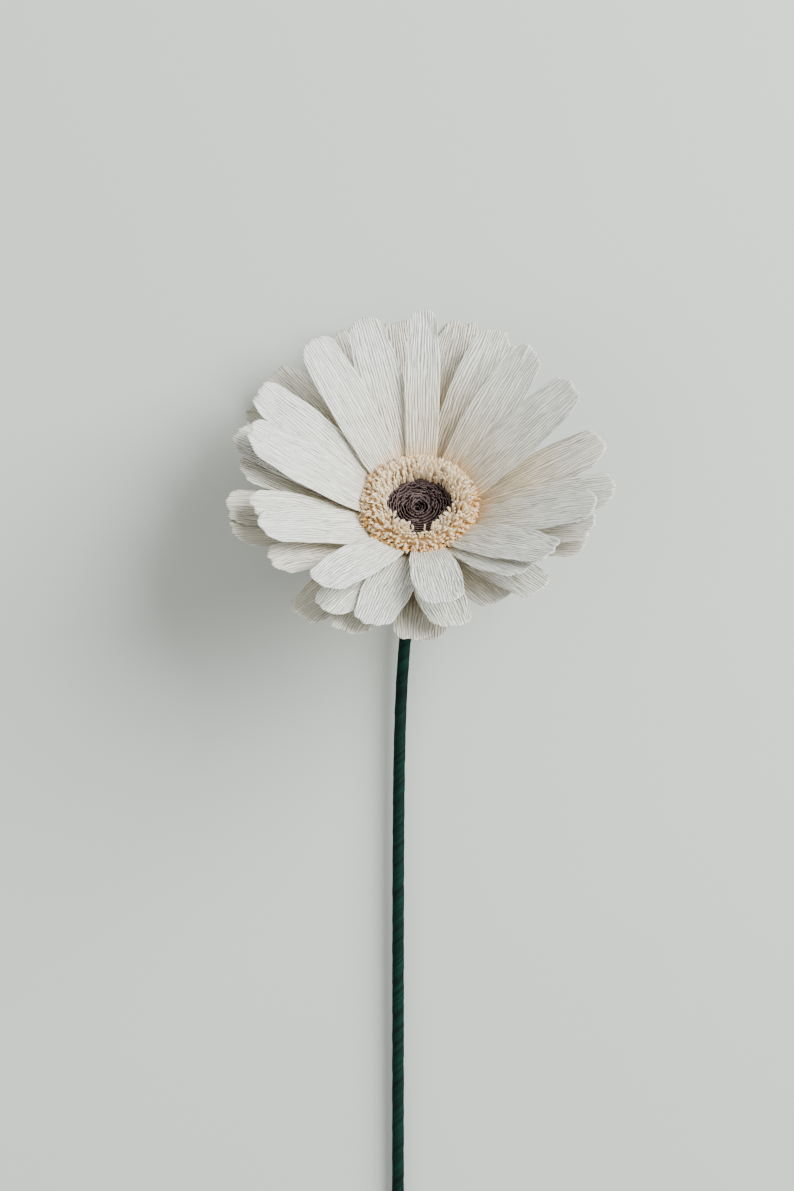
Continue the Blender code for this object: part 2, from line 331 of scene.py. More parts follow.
# ring, turn, rise, length, width, sideways sway
petals = {
    "petal_01": (0, 25, 37.0, 57.0, 14.5, 0.0),
    "petal_02": (0, 86, 38.0, 58.0, 10.0, 0.0),
    "petal_03": (0, 125, 37.5, 57.5, 13.5, 0.0),
    "petal_04": (0, 170, 39.0, 56.0, 15.5, 0.0),
    "petal_05": (0, 237, 35.5, 58.0, 14.0, 0.0),
    "petal_06": (0, 276, 36.0, 58.0, 14.5, 0.0),
    "petal_07": (0, 314, 37.0, 58.5, 14.0, 0.0),
    "petal_08": (1, 47, 37.0, 55.5, 14.0, 0.0),
    "petal_09": (1, 106, 36.5, 57.5, 13.0, 0.0),
    "petal_10": (1, 150, 35.0, 57.0, 14.0, 0.0),
    "petal_11": (1, 205, 35.0, 54.0, 14.5, 0.0),
    "petal_12": (1, 254, 28.5, 57.0, 13.5, 0.0),
    "petal_13": (1, 306, 36.0, 54.0, 13.5, 0.0),
    "petal_14": (1, 340, 33.0, 56.0, 14.0, 0.0),
    "petal_15": (2, 63, 28.0, 56.0, 14.0, 0.0),
    "petal_16": (2, 164, 32.0, 56.0, 14.0, 2.5),
    "petal_17": (2, 196, 35.0, 52.5, 13.5, -2.0),
    "petal_18": (2, 240, 28.5, 55.5, 14.0, 0.0),
    "petal_19": (2, 275, 28.5, 55.0, 14.0, 3.0),
    "petal_20": (2, 309, 28.5, 55.0, 13.5, -2.0),
    "petal_21": (3, 110, 24.5, 56.5, 13.5, 0.0),
    "petal_22": (3, 174, 31.0, 52.0, 13.5, 0.0),
    "petal_23": (3, 214, 29.0, 51.0, 14.0, 0.0),
    "petal_24": (3, 247, 25.0, 56.0, 14.0, 0.0),
    "petal_25": (3, 297, 26.5, 45.5, 13.5, 0.0),
    "petal_26": (3, 337, 28.0, 52.5, 13.5, 0.0),
    "petal_27": (4, 94, 22.7, 56.0, 14.0, 0.0),
    "petal_28": (4, 153, 31.0, 54.5, 13.5, 0.0),
    "petal_29": (4, 188, 27.0, 54.5, 14.0, 0.0),
    "petal_30": (4, 232, 23.0, 54.0, 14.0, 0.0),
    "petal_31": (4, 266, 25.0, 52.5, 13.0, 0.0),
    "petal_32": (2, 350, 28.0, 57.0, 14.0, 0.0),
    "petal_33": (3, 9, 27.0, 53.5, 15.0, 0.0),
    "petal_34": (5, 75, 22.7, 56.5, 14.5, 0.0),
    "petal_35": (5, 134, 24.0, 55.0, 14.0, 0.0),
    "petal_36": (5, 196, 26.5, 53.5, 13.5, 0.0),
    "petal_37": (5, 270, 24.0, 50.0, 13.0, 0.0),
    "petal_38": (5, 334, 26.0, 49.5, 13.5, 0.0),
}
# painted warm shade grows towards one side of the head, the foot and the deeper rings; a painted
# orange glow lies near the foot
petalPaper = {
    "pitch": 0.82,
    "wander": 3.0,
    "waveShare": 0.45,
    "crest": (0.905, 0.935, 0.91, 1.0),
    # the valley colour is painted shade in the creases
    "valleyShade": (0.22, 0.19, 0.15, 1.0),
    "patch": (0.84, 0.84, 0.77, 1.0),
    "patchAmount": 0.35,
    "shade": (0.9, 0.74, 0.54, 1.0),
    # the tint is a painted orange glow near the foot
    "tint": (0.93, 0.52, 0.17, 1.0),
    "deepAmount": 0.6,
    "deepShadeTone": 0.7,
    "shadeTone": 0.8,
    "shadeRun": (14.0, 48.0),
    "tintRun": (13.0, 22.0),
    "tintAmount": 0.8,
    # where painted shade is strongest around the head, and how much the other side still gets
    "shadedWay": (0.8, 0.6, 0.0),
    "shadedBand": (-0.012, 0.02),
    "shadedLeast": 0.35,
    "bump": 1.0,
    "depth": 0.36,
    "rough": 0.72,
    "through": 0.32,  # share of the light that passes the paper
    "throughColour": (0.76, 0.74, 0.67, 1.0),
}


def petalMaterial():
    look = petalPaper
    g, along, ridge, colour, fibre = crepeMaterial("petalPaper", look)
    spot = g.val(g.add("ShaderNodeTexCoord"), 3)
    toward = g.add("ShaderNodeVectorMath", {"operation": "SUBTRACT"}, i0=spot, i1=headAt)
    side = g.add(
        "ShaderNodeVectorMath", {"operation": "DOT_PRODUCT"},
        i0=g.val(toward), i1=look["shadedWay"],
    )
    # painted shade is strongest on the side of the head towards the key lamp, whose petals face
    # away from it
    shadedSide = g.ramp(g.val(side, 1), *look["shadedBand"], look["shadedLeast"], 1.0)
    deep = g.val(g.add("ShaderNodeAttribute", {"attribute_name": "deep"}), 2)
    # painted shade: the deeper rings are darkened towards the shade colour
    darker = g.mixColour(look["deepShadeTone"], colour, look["shade"], "MULTIPLY")
    colour = g.mixColour(deep * look["deepAmount"], colour, darker)
    shade = g.mixColour(look["shadeTone"], colour, look["shade"], "MULTIPLY")
    # painted shade near the foot, on the shaded side and on the deeper rings
    nearFoot = g.ramp(along, *look["shadeRun"], 1.0, 0.0)
    colour = g.mixColour(nearFoot * (shadedSide + deep), colour, shade)
    # painted glow: orange near the foot, stronger on the shaded side and weaker on the deeper rings
    glow = g.ramp(along, *look["tintRun"], look["tintAmount"], 0.0)
    glow = glow * shadedSide * (1.0 - deep * look["deepAmount"])
    colour = g.mixColour(glow, colour, look["tint"])
    return finishPaper(g, look, colour, ridge, fibre)


# how wide a foot may be for its radius before it meets its ring's next petal
def footShare(name):
    ring, turn = petals[name][:2]
    gaps = [
        abs((other[1] - turn + 180) % 360 - 180)
        for key, other in petals.items()
        if key != name and other[0] == ring
    ]
    return min(petal["widestFoot"], 2 * math.sin(math.radians(min(gaps)) / 2) * petal["footGap"])


# the middle line from foot to tip as radius, height and slope, at equal steps
def petalPath(ring, rise, length):
    step = petal["pathStep"]
    radius = petal["footRadius"] + petal["ringStep"] * ring
    height = petal["footHeight"] - petal["ringStep"] * ring
    start = math.radians(rise + petal["curl"] / 2)
    straightEnd = petal["straight"] + petal["bend"]
    path = []
    for index in range(int(length / step) + 2):
        run = index * step
        bend = ramp((run - petal["straight"]) / petal["bend"])
        blade = max(0.0, (run - straightEnd) / (length - straightEnd))
        slope = math.pi / 2 + (start - math.pi / 2) * bend - math.radians(petal["curl"]) * blade
        path.append((radius, height, slope))
        radius += step * math.cos(slope)
        height += step * math.sin(slope)
    return path


def onPath(path, run):
    place = min(max(run / petal["pathStep"], 0.0), len(path) - 1.001)
    part = place - int(place)
    before, after = path[int(place)], path[int(place) + 1]
    return [a + (b - a) * part for a, b in zip(before, after)]


# the modelled ridges: a wave that wanders, and long creases over it
ridges = {
    "warp": 1.6,
    "warpGrain": (0.3, 0.06),
    "wave": 0.5,
    "crease": 1.1,
    "creaseGrain": (1.9, 0.14),
}


# height of the ridges, about -1 to 1, at a place in millimetres
def crepeRidge(across, along, seed):
    warpAcross, warpAlong = ridges["warpGrain"]
    warp = noise.noise(Vector((across * warpAcross, along * warpAlong, seed)))
    wave = math.sin(tau * (across / petal["ridgePitch"] + ridges["warp"] * warp))
    creaseAcross, creaseAlong = ridges["creaseGrain"]
    crease = noise.noise(Vector((across * creaseAcross, along * creaseAlong, seed + 7.0)))
    return ridges["wave"] * wave + ridges["crease"] * crease


# how far along the paper a grid point lies, with a rounded and unevenly cut tip
def tipRun(length, widest, seed, across, share):
    power = petal["cornerPower"]
    corner = (1.0 - abs(across) ** power * petal["cornerFlat"]) ** (1 / power)
    tip = max(0.0, (share - petal["tipFrom"]) / (1 - petal["tipFrom"]))
    rounder = 1.0 + max(0.0, petal["slimBelow"] - widest) * petal["slimRounding"]
    uneven = noise.noise(Vector((across * petal["unevenScale"], seed * 3.1, 0.0)))
    uneven = uneven * petal["uneven"] / rounder**2
    teeth = crepeRidge(across * widest / 2, length, seed) * petal["teeth"]
    run = share * length - petal["tipRounding"] * rounder * widest * (1.0 - corner) * tip**2
    return run + (uneven + teeth) * tip**3


# a narrow foot that widens with the radius, then the blade's own width
def halfWidth(foot, widest, seed, across, share, radius):
    half = ((0.5 * foot * radius) ** -4 + (0.5 * widest) ** -4) ** -0.25
    narrower = ramp((share - petal["narrowFrom"]) / petal["narrowOver"])
    half *= 1.0 - petal["tipNarrowing"] * narrower
    wander = noise.noise(Vector((share * 5.0, seed * 1.7, across)))
    return half * (1.0 + petal["widthWander"] * wander)


def buildPetal(name, seed, material):
    ring, turn, rise, length, widest, sway = petals[name]
    chance = random.Random(seed)
    path = petalPath(ring, rise, length)
    foot = footShare(name)
    footCurve = 1.0 / (petal["footRadius"] + petal["ringStep"] * ring)
    cup = petal["cup"] * chance.uniform(*petal["cupRange"])
    looseFrom = petal["looseFrom"]
    turnMatrix = Matrix.Rotation(math.radians(turn), 4, "Z")
    bm = bmesh.new()
    uvLayer = bm.loops.layers.uv.new("grain")
    # the deep attribute sets how much painted shade a petal gets in its material
    deepLayer = bm.verts.layers.float.new("deep")  # 0 on the top rings, 1 on the lowest
    bmesh.ops.create_grid(bm, x_segments=petal["columns"], y_segments=petal["rows"], size=1.0)
    grain = {}
    for vert in bm.verts:
        across, share = vert.co.x, (vert.co.y + 1) / 2
        run = tipRun(length, widest, seed, across, share)
        radius, height, slope = onPath(path, run)
        side = across * halfWidth(foot, widest, seed, across, share, radius)
        spread = ramp((run - petal["spreadFrom"]) / petal["spreadOver"])
        curve = footCurve * (1.0 - spread) + cup * spread
        u, v = across * widest / 2, run
        deepening = petal["footRidge"] + (1 - petal["footRidge"]) * spread
        ridge = crepeRidge(u, v, seed) * petal["ridgeDepth"] * deepening
        lift = 0.5 * curve * side * side + ridge
        sideways = sway * max(0.0, (run - looseFrom) / (length - looseFrom)) ** 2
        spot = turnMatrix @ Vector((
            radius - math.sin(slope) * lift,
            side + sideways,
            height + math.cos(slope) * lift,
        ))
        shared = noise.noise(spot / petal["flutterSize"])
        spot.z += shared * petal["flutter"] * ramp((run - looseFrom) / petal["looseOver"])
        vert.co = spot * mm
        vert[deepLayer] = ramp((ring - 0.5) / 4.0)
        grain[vert] = (u + petal["paperStep"] * seed, v)
    layGrain(bm.faces, uvLayer, grain)
    addPiece(
        name.replace("_", ""), bm, material, name,
        headPlace, petal["thickness"] * mm,
    )


def buildPetals():
    material = petalMaterial()
    for index, name in enumerate(petals):
        buildPetal(name, index + 1, material)
    print("petals built:", len(petals))


# one cut strand of a fringe
strand = {
    "width": 1.35,
    "widthRange": (0.8, 1.25),
    "thick": 0.3,
    "steps": 7,
    "crinkleWidth": 0.25,
    "crinkleStep": 2.1,
    "tipNarrowing": 0.5,
    "uvHeight": 10.0,
    "uvCorner": 0.4,
    "uvStep": 3.7,
    "lean": 0.06,
    "waves": (1.0, 1.9),
    "reachPower": 1.2,
    "risePower": 0.9,
    "swingPower": 0.7,
    "outSwing": 0.7,
    "curlFrom": 0.6,
    "curlOver": 0.4,
    "curlDrop": 0.55,
    "wobble": 0.22,
    "bunching": 0.35,
    "footScatter": 0.2,
    "tipScatter": 0.5,
    "heightScatter": (-0.8, 0.55),
    "curl": (0.05, 0.5),
    "moreCurl": 0.5,
    "curledAbove": 0.85,  # the rest of 1 is the share of curled strands
    "twist": 0.9,
    "tintRange": (0.5, 1.2),
    "longBeyond": 16.0,  # tip radius of the outermost row
    "shortBelow": 12.0,  # tip radius of the rows beside the roll
}
# each row: strands, tip radius, foot radius, foot height, tip height, tint at the foot
fringes = {
    "outer_fringe": {
        "collarTint": 0.7,
        "shift": (-0.35, -0.55),
        "collar": ((7.3, -13.2), (7.2, -10.0), (7.7, -7.2), (9.1, -5.1), (12.6, -2.4),
                   (15.1, -1.1), (14.9, -0.7), (13.2, -0.1), (11.4, -0.4), (10.9, -2.3),
                   (8.7, -4.5), (7.2, -6.9), (6.8, -9.6), (6.8, -13.2)),
        "rows": ((110, 17.1, 15.3, -0.7, 0.1, 1.5), (114, 16.7, 14.8, -1.0, 0.2, 1.4),
                 (104, 16.5, 14.2, -1.6, 0.7, 1.1), (98, 15.7, 13.5, -2.2, 1.4, 0.6),
                 (92, 14.6, 12.8, -2.6, 2.1, 0.3)),
    },
    "inner_fringe": {
        # the orange on this inner collar is partly the paper's own and partly painted shade on the
        # wall beside the roll
        "collarTint": 0.3,
        "shift": (0.0, 0.0),
        "collar": ((6.5, -13.2), (6.5, -9.4), (6.9, -7.8), (8.6, -5.9), (9.8, -4.2), (10.5, -2.6),
                   (9.9, -2.4), (9.3, -3.8), (8.1, -5.5), (6.5, -7.3), (5.9, -9.1), (5.9, -13.2)),
        "rows": ((86, 13.5, 12.0, -2.4, 2.6, 0.18), (78, 12.4, 11.2, -2.8, 2.8, 0.14),
                 (70, 11.3, 10.5, -3.2, 2.4, 0.12), (64, 10.3, 9.8, -3.8, 1.9, 0.12),
                 (58, 9.9, 9.4, -4.4, 0.7, 0.25)),
    },
}
collar = {"segments": 90, "fluting": 0.12, "flutes": 45, "grain": 12.0}
# the short strands leave a gap on the near side and lean in beside it
gap = {"half": 16.0, "lean": 1.9, "leanEnd": 85.0, "leanOver": 25.0, "leanReach": 1.8, "kept": 0.08}
fringePaper = {
    "pitch": 0.5,
    "wander": 1.0,
    "waveShare": 0.3,
    "crest": (0.96, 0.93, 0.84, 1.0),
    # the valley colour is painted shade in the creases
    "valleyShade": (0.9, 0.81, 0.64, 1.0),
    "patch": (0.96, 0.85, 0.62, 1.0),
    "patchAmount": 0.5,
    "tint": (0.97, 0.55, 0.13, 1.0),
    "tintRun": (1.0, 9.0),
    "tintClimb": 0.4,
    "bump": 0.6,
    "depth": 0.1,
    "rough": 0.7,
    "through": 0.6,
    "throughColour": (0.95, 0.82, 0.58, 1.0),
}


# the UV map's height runs from foot 0 to tip 10, and each strand's tint is in its attribute
def fringeMaterial():
    look = fringePaper
    g, along, ridge, colour, fibre = crepeMaterial("fringePaper", look)
    tintAmount = g.val(g.add("ShaderNodeAttribute", {"attribute_name": "tint"}), 2)
    climbed = along / (tintAmount * look["tintClimb"] + 1.0)
    depth = g.ramp(climbed, *look["tintRun"], 1.0, 0.0)
    colour = g.mixColour(depth * tintAmount, colour, look["tint"])
    return finishPaper(g, look, colour, ridge, fibre)


# a thin strip with four corners at each step of its path; mark is a fixed UV height
def addStrand(bm, layers, path, widths, thick, side, seed, tint, mark=None):
    uvLayer, tintLayer = layers
    rings = []
    for index, centre in enumerate(path):
        ahead = path[min(index + 1, len(path) - 1)] - path[max(index - 1, 0)]
        ahead.normalize()
        wide = (side - ahead * side.dot(ahead)).normalized()
        deep = ahead.cross(wide)
        half = widths[index] / 2
        corners = ((half, 0.0), (0.0, thick / 2), (-half, 0.0), (0.0, -thick / 2))
        rings.append([bm.verts.new(centre + wide * a + deep * b) for a, b in corners])
    faces = [bm.faces.new(rings[0][::-1]), *skin(bm, rings), bm.faces.new(rings[-1])]
    grain = {}
    for level, ring in enumerate(rings):
        height = strand["uvHeight"] * level / (len(rings) - 1) if mark is None else mark
        for corner, vert in enumerate(ring):
            grain[vert] = (corner * strand["uvCorner"] + seed * strand["uvStep"], height)
            vert[tintLayer] = tint
    layGrain(faces, uvLayer, grain)


# from a foot to a tip, each a radius and a height, with a crinkle and a curled end
def strandPath(chance, angle, low, high, wobble, curl):
    out = Vector((math.cos(angle), math.sin(angle), 0.0))
    around = Vector((-out.y, out.x, 0.0))
    up = Vector((0, 0, 1))
    lean = chance.uniform(-strand["lean"], strand["lean"])
    phase, second = chance.uniform(0, tau), chance.uniform(0, tau)
    waves = chance.uniform(*strand["waves"])
    turnTo = out * chance.uniform(-1, 1) + around * chance.uniform(-1, 1)
    points = []
    steps = strand["steps"]
    for index in range(steps + 1):
        share = index / steps
        radius = low[0] + (high[0] - low[0]) * share ** strand["reachPower"]
        rise = math.sin(share * math.pi / 2) ** strand["risePower"]
        height = low[1] + (high[1] - low[1]) * rise
        place = (out + around * lean * share) * radius + up * height
        swing = wobble * share ** strand["swingPower"]
        place += around * math.sin(waves * tau * share + phase) * swing
        place += out * math.sin(waves * tau * share + second) * swing * strand["outSwing"]
        end = max(0.0, (share - strand["curlFrom"]) / strand["curlOver"])
        place += turnTo * curl * end**2 - up * curl * strand["curlDrop"] * end**2
        points.append(place * mm)
    return points, around


# spin a closed outline of radii and heights about the axis
def turned(bm, outline, segments):
    verts = [bm.verts.new((radius * mm, 0, height * mm)) for radius, height in outline]
    edges = [bm.edges.new((a, b)) for a, b in zip(verts, verts[1:] + verts[:1])]
    bmesh.ops.spin(
        bm, geom=verts + edges, cent=(0, 0, 0), axis=(0, 0, 1),
        angle=tau, steps=segments, use_merge=True,
    )
    bmesh.ops.recalc_face_normals(bm, faces=bm.faces)


# degrees between a direction and the near side, where the gap is
def fromNear(angle):
    return abs((math.degrees(angle) + 90 + 180) % 360 - 180)


# a mesh with the two layers that strands fill in
def strandMesh():
    bm = bmesh.new()
    return bm, (bm.loops.layers.uv.new("grain"), bm.verts.layers.float.new("tint"))


# the fluted collar that the strands of a fringe grow from
def addCollar(bm, layers, node):
    uvLayer, tintLayer = layers
    turned(bm, fringes[node]["collar"], collar["segments"])
    grain = {}
    for vert in bm.verts:
        vert[tintLayer] = fringes[node]["collarTint"]
        spin = math.atan2(vert.co.y, vert.co.x)
        vert.co += vert.co.normalized() * collar["fluting"] * mm * math.sin(spin * collar["flutes"])
        grain[vert] = (spin * collar["grain"], 1.0 + vert.co.z / mm * 0.1)
    layGrain(bm.faces, uvLayer, grain)


# narrower at every other crinkle and at the tip
def strandWidths(width, angle):
    crinkle, steps = strand["crinkleWidth"], strand["steps"]
    return [
        width * (1 - crinkle + crinkle * math.sin(step * strand["crinkleStep"] + angle * 5))
        * (1 - strand["tipNarrowing"] * (step / steps) ** 4)
        for step in range(steps + 1)
    ]


def addFringeStrand(bm, layers, chance, node, row, index):
    count, tipRadius, footRadius, footHeight, tipHeight, tint = row
    angle = (index + chance.uniform(-strand["bunching"], strand["bunching"])) * tau / count
    shift = fringes[node]["shift"]
    aside = shift[0] * math.cos(angle) + shift[1] * math.sin(angle)
    footScatter, tipScatter = strand["footScatter"], strand["tipScatter"]
    outermost = tipScatter if tipRadius < strand["longBeyond"] else 0.1
    low = (footRadius + aside + chance.uniform(-footScatter, footScatter), footHeight)
    high = (
        tipRadius + aside + chance.uniform(-tipScatter, outermost),
        tipHeight + chance.uniform(*strand["heightScatter"]),
    )
    curl = chance.uniform(*strand["curl"])
    curl += strand["moreCurl"] if chance.random() > strand["curledAbove"] else 0.0
    away = fromNear(angle)
    short = tipRadius < strand["shortBelow"]
    if short and away < gap["half"] and chance.random() > gap["kept"]:
        return
    if short:
        pull = ramp((gap["leanEnd"] - away) / gap["leanOver"]) * gap["lean"]
        inward = pull * (strand["shortBelow"] - tipRadius) / gap["leanReach"]
        high = (high[0] - inward, high[1] - 0.3 * pull)
    path, side = strandPath(chance, angle, low, high, strand["wobble"], curl)
    width = strand["width"] * chance.uniform(*strand["widthRange"]) * mm
    twist = Matrix.Rotation(chance.uniform(-strand["twist"], strand["twist"]), 3, "Z")
    addStrand(
        bm, layers, path, strandWidths(width, angle), strand["thick"] * mm, twist @ side,
        chance.uniform(0, 40), tint * chance.uniform(*strand["tintRange"]),
    )


def buildFringe(node, seed, material):
    chance = random.Random(seed)
    bm, layers = strandMesh()
    addCollar(bm, layers, node)
    for row in fringes[node]["rows"]:
        for index in range(row[0]):
            addFringeStrand(bm, layers, chance, node, row, index)
    addPiece(node.replace("_", ""), bm, material, node, headPlace)
    print("fringe built:", node)


# dark rolled centre: one strip wound up, a core under it, loose folds and a torn rim
roll = {
    "turns": 10.6,
    "pitch": 0.8,
    "start": 0.55,
    "bottom": -6.5,
    "top": -2.6,
    "wall": 0.34,
    "stepsPerTurn": 110,
    "offCentre": (-0.6, 1.1),
    "centredAt": 9.4,
    "dish": 2.2,
    "dishRadius": 2.3,
    "swell": 0.4,
    "swellScale": 0.9,
    "rippleScale": 0.45,
    "rippleTurn": 1.6,
    "ripple": 0.7,
    "rippleSide": 0.6,
    "crimpScale": 2.3,
    "crimp": 0.6,
    "crimpSide": 0.4,
    "uvScale": 0.9,
    "bottomRise": 2.2,
    "riseFrom": 4.0,
    "riseOver": 5.0,
    # across the strip, up it, and its place along the grain
    "section": ((-0.5, 0.0, 0.0), (-0.5, 0.75, 7.5), (-0.3, 0.95, 9.5), (0.0, 1.0, 10.0),
                (0.3, 0.95, 9.5), (0.5, 0.75, 7.5), (0.5, 0.0, 0.0)),
    "core": ((0.01, -13.2), (5.5, -13.2), (5.5, -9.0), (5.9, -6.4), (7.2, -4.8), (9.2, -3.6),
             (8.6, -3.5), (7.0, -4.0), (4.0, -4.8), (2.0, -5.8), (0.01, -6.2)),
    "folds": 26,
    "foldSteps": 6,
    "foldRadius": (1.2, 8.6),
    "foldSweep": (1.5, 3.2),
    "foldInward": (-0.9, 0.5),
    "foldAbove": (-0.1, 0.5),
    "foldWidth": (0.7, 1.1),
    # the folds sit at one UV height high on the strip, so the painted edge highlight lies all along
    # them
    "foldHighlightHeight": 9.7,
    "firstFold": (1.2, 1.9, -1.6, 1.2, 0.4),  # angle, radius, sweep, inward, above
    "rimStrands": 96,
    "rimBunching": 0.4,
    "rimFoot": (7.8, -4.2),
    "rimTip": ((8.9, 10.0), (-2.9, -1.7)),
    "gapTip": ((10.5, 11.4), (-1.0, -0.3)),
    "longTip": ((9.2, 9.9), (0.8, 1.3)),
    "gapMargin": 3,
    "rimWidth": (0.5, 0.75),
    "rimThick": 0.3,
    "rimWobble": 0.2,
    "rimCurl": (0.1, 0.8),
    "rimLongBeyond": 0.8,
}
rollPaper = {
    "pitch": 0.55,
    "wander": 1.5,
    "waveShare": 0.35,
    "crest": (0.05, 0.028, 0.027, 1.0),
    # the valley colour is painted shade in the creases
    "valleyShade": (0.006, 0.003, 0.0035, 1.0),
    "patch": (0.02, 0.011, 0.011, 1.0),
    "patchAmount": 0.5,
    # the edge colour is a painted highlight for the strip's top edges and the loose folds
    "edge": (0.2, 0.14, 0.13, 1.0),
    "highlightRun": (8.6, 10.0),
    "highlightAmount": 0.75,
    "bump": 0.8,
    "depth": 0.12,
    "rough": 0.6,
    "through": 0.0,
}


def rollMaterial():
    look = rollPaper
    g, along, ridge, colour, fibre = crepeMaterial("rollPaper", look)
    # painted highlight: the strip's top edges and the folds lighten towards the edge colour,
    # unevenly with the fibres
    edgeHighlight = g.ramp(along, *look["highlightRun"], 0.0, look["highlightAmount"]) * fibre * 1.5
    colour = g.mixColour(edgeHighlight, colour, look["edge"])
    return finishPaper(g, look, colour, ridge, fibre)


# the spiral's middle is off centre inside and centred at its rim
def rollMiddle(radius):
    return Vector((*roll["offCentre"], 0)) * (1.0 - radius / roll["centredAt"])


# the strip's cross-section at one step of the spiral, with its place along the grain
def stripRing(bm, step, grain):
    angle = tau * step / roll["stepsPerTurn"]
    radius = roll["start"] + roll["pitch"] * angle / tau
    out = Vector((math.cos(angle), math.sin(angle), 0))
    turn = Vector((0, 0, radius * roll["rippleTurn"]))
    ripple = noise.noise(out * radius * roll["rippleScale"] + turn)
    run = angle * max(radius, 1.5) * roll["uvScale"]
    crimp = noise.noise(Vector((run, radius * roll["crimpScale"], 4.0)))
    dish = -roll["dish"] * math.exp(-((radius / roll["dishRadius"]) ** 2))
    dish += roll["swell"] * math.sin(radius * roll["swellScale"])
    top = roll["top"] + dish + roll["ripple"] * ripple + roll["crimp"] * crimp
    wobble = roll["rippleSide"] * ripple + roll["crimpSide"] * crimp
    bottom = roll["bottom"] + roll["bottomRise"] * ramp(
        (radius - roll["riseFrom"]) / roll["riseOver"]
    )
    ring = []
    for side, rise, mark in roll["section"]:
        bulge = radius + wobble * rise + side * roll["wall"]
        spot = rollMiddle(radius) + out * bulge + Vector((0, 0, bottom + (top - bottom) * rise))
        vert = bm.verts.new(spot * mm)
        grain[vert] = (angle * max(radius, 1.0) * roll["uvScale"], mark)
        ring.append(vert)
    return ring


def addStrip(bm, uvLayer):
    grain = {}
    steps = int(roll["turns"] * roll["stepsPerTurn"])
    rings = [stripRing(bm, step, grain) for step in range(steps + 1)]
    skin(bm, rings, turnedOver=True)
    bm.faces.new(rings[0])
    bm.faces.new(rings[-1][::-1])
    layGrain(bm.faces, uvLayer, grain)


# a short loose fold lying on the roll; the first one is placed near the middle
def addFold(bm, layers, chance, fold):
    angle = chance.uniform(0, tau)
    radius = chance.uniform(*roll["foldRadius"])
    sweep = chance.uniform(*roll["foldSweep"]) / max(radius, 1.5)
    inward = chance.uniform(*roll["foldInward"])
    above = chance.uniform(*roll["foldAbove"])
    if fold == 0:
        angle, radius, sweep, inward, above = roll["firstFold"]
    top = roll["top"] + above
    steps = roll["foldSteps"]
    path = []
    for step in range(steps + 1):
        share = step / steps
        spin = angle + sweep * share
        reach = radius + inward * share + 0.15 * math.sin(share * 9.0 + fold)
        height = top - 0.5 * abs(share - 0.5)
        spot = Vector((math.cos(spin) * reach, math.sin(spin) * reach, height))
        path.append((rollMiddle(radius) + spot) * mm)
    widths = [chance.uniform(*roll["foldWidth"]) * mm] * (steps + 1)
    thick, up, mark = roll["rimThick"] * mm, Vector((0, 0, 1)), roll["foldHighlightHeight"]
    addStrand(bm, layers, path, widths, thick, up, fold, 0.0, mark)


# a dark strand at the rim: long ones lie in the fringe's gap and a few beside it
def addRimStrand(bm, layers, chance, index):
    spread = roll["rimBunching"]
    angle = (index + chance.uniform(-spread, spread)) * tau / roll["rimStrands"]
    away = fromNear(angle)
    high = [chance.uniform(*limits) for limits in roll["rimTip"]]
    if away < gap["half"] + roll["gapMargin"]:
        high = [chance.uniform(*limits) for limits in roll["gapTip"]]
    elif away < gap["leanEnd"] and chance.random() > roll["rimLongBeyond"]:
        high = [chance.uniform(*limits) for limits in roll["longTip"]]
    curl = chance.uniform(*roll["rimCurl"])
    path, side = strandPath(chance, angle, roll["rimFoot"], high, roll["rimWobble"], curl)
    widths = [chance.uniform(*roll["rimWidth"]) * mm] * (strand["steps"] + 1)
    addStrand(bm, layers, path, widths, roll["rimThick"] * mm, side, index, 0.0)


def buildRoll(material):
    chance = random.Random(11)
    bm, layers = strandMesh()
    addStrip(bm, layers[0])
    core = bmesh.new()
    turned(core, roll["core"], 64)
    addCopy(bm, core)
    for fold in range(roll["folds"]):
        addFold(bm, layers, chance, fold)
    for index in range(roll["rimStrands"]):
        addRimStrand(bm, layers, chance, index)
    addPiece("centreRoll", bm, material, "centre_roll", headPlace)
    print("roll built")


# put one bmesh's faces into another
def addCopy(bm, other):
    mesh = bpy.data.meshes.new("part")
    other.to_mesh(mesh)
    other.free()
    bm.from_mesh(mesh)
    bpy.data.meshes.remove(mesh)


# calyx
calyx = {
    "points": 16,
    "columns": 320,
    "outline": ((1.9, -19.9), (4.0, -19.3), (7.5, -18.1), (10.6, -17.4), (12.0, -17.0),
                (12.4, -16.2), (12.5, -15.2), (12.7, -14.2), (13.3, -13.2), (14.4, -12.2)),
    "pointsFrom": 5,
    "pointLevels": 4,
    "pointHeight": 1.8,
    "flare": 1.1,
    "pinch": 0.5,
    "grain": 12.0,
    "levelGrain": 1.6,
    "ridgeDepth": 0.2,
    "thickness": 0.35,
}
calyxPaper = {
    "pitch": 0.8,
    "wander": 2.0,
    "waveShare": 0.4,
    "crest": (0.012, 0.075, 0.045, 1.0),
    # the valley colour is painted shade in the creases
    "valleyShade": (0.002, 0.02, 0.012, 1.0),
    "patch": (0.008, 0.05, 0.035, 1.0),
    "patchAmount": 0.5,
    "bump": 1.0,
    "depth": 0.3,
    "rough": 0.66,
    "through": 0.1,
    "throughColour": (0.008, 0.055, 0.035, 1.0),
}


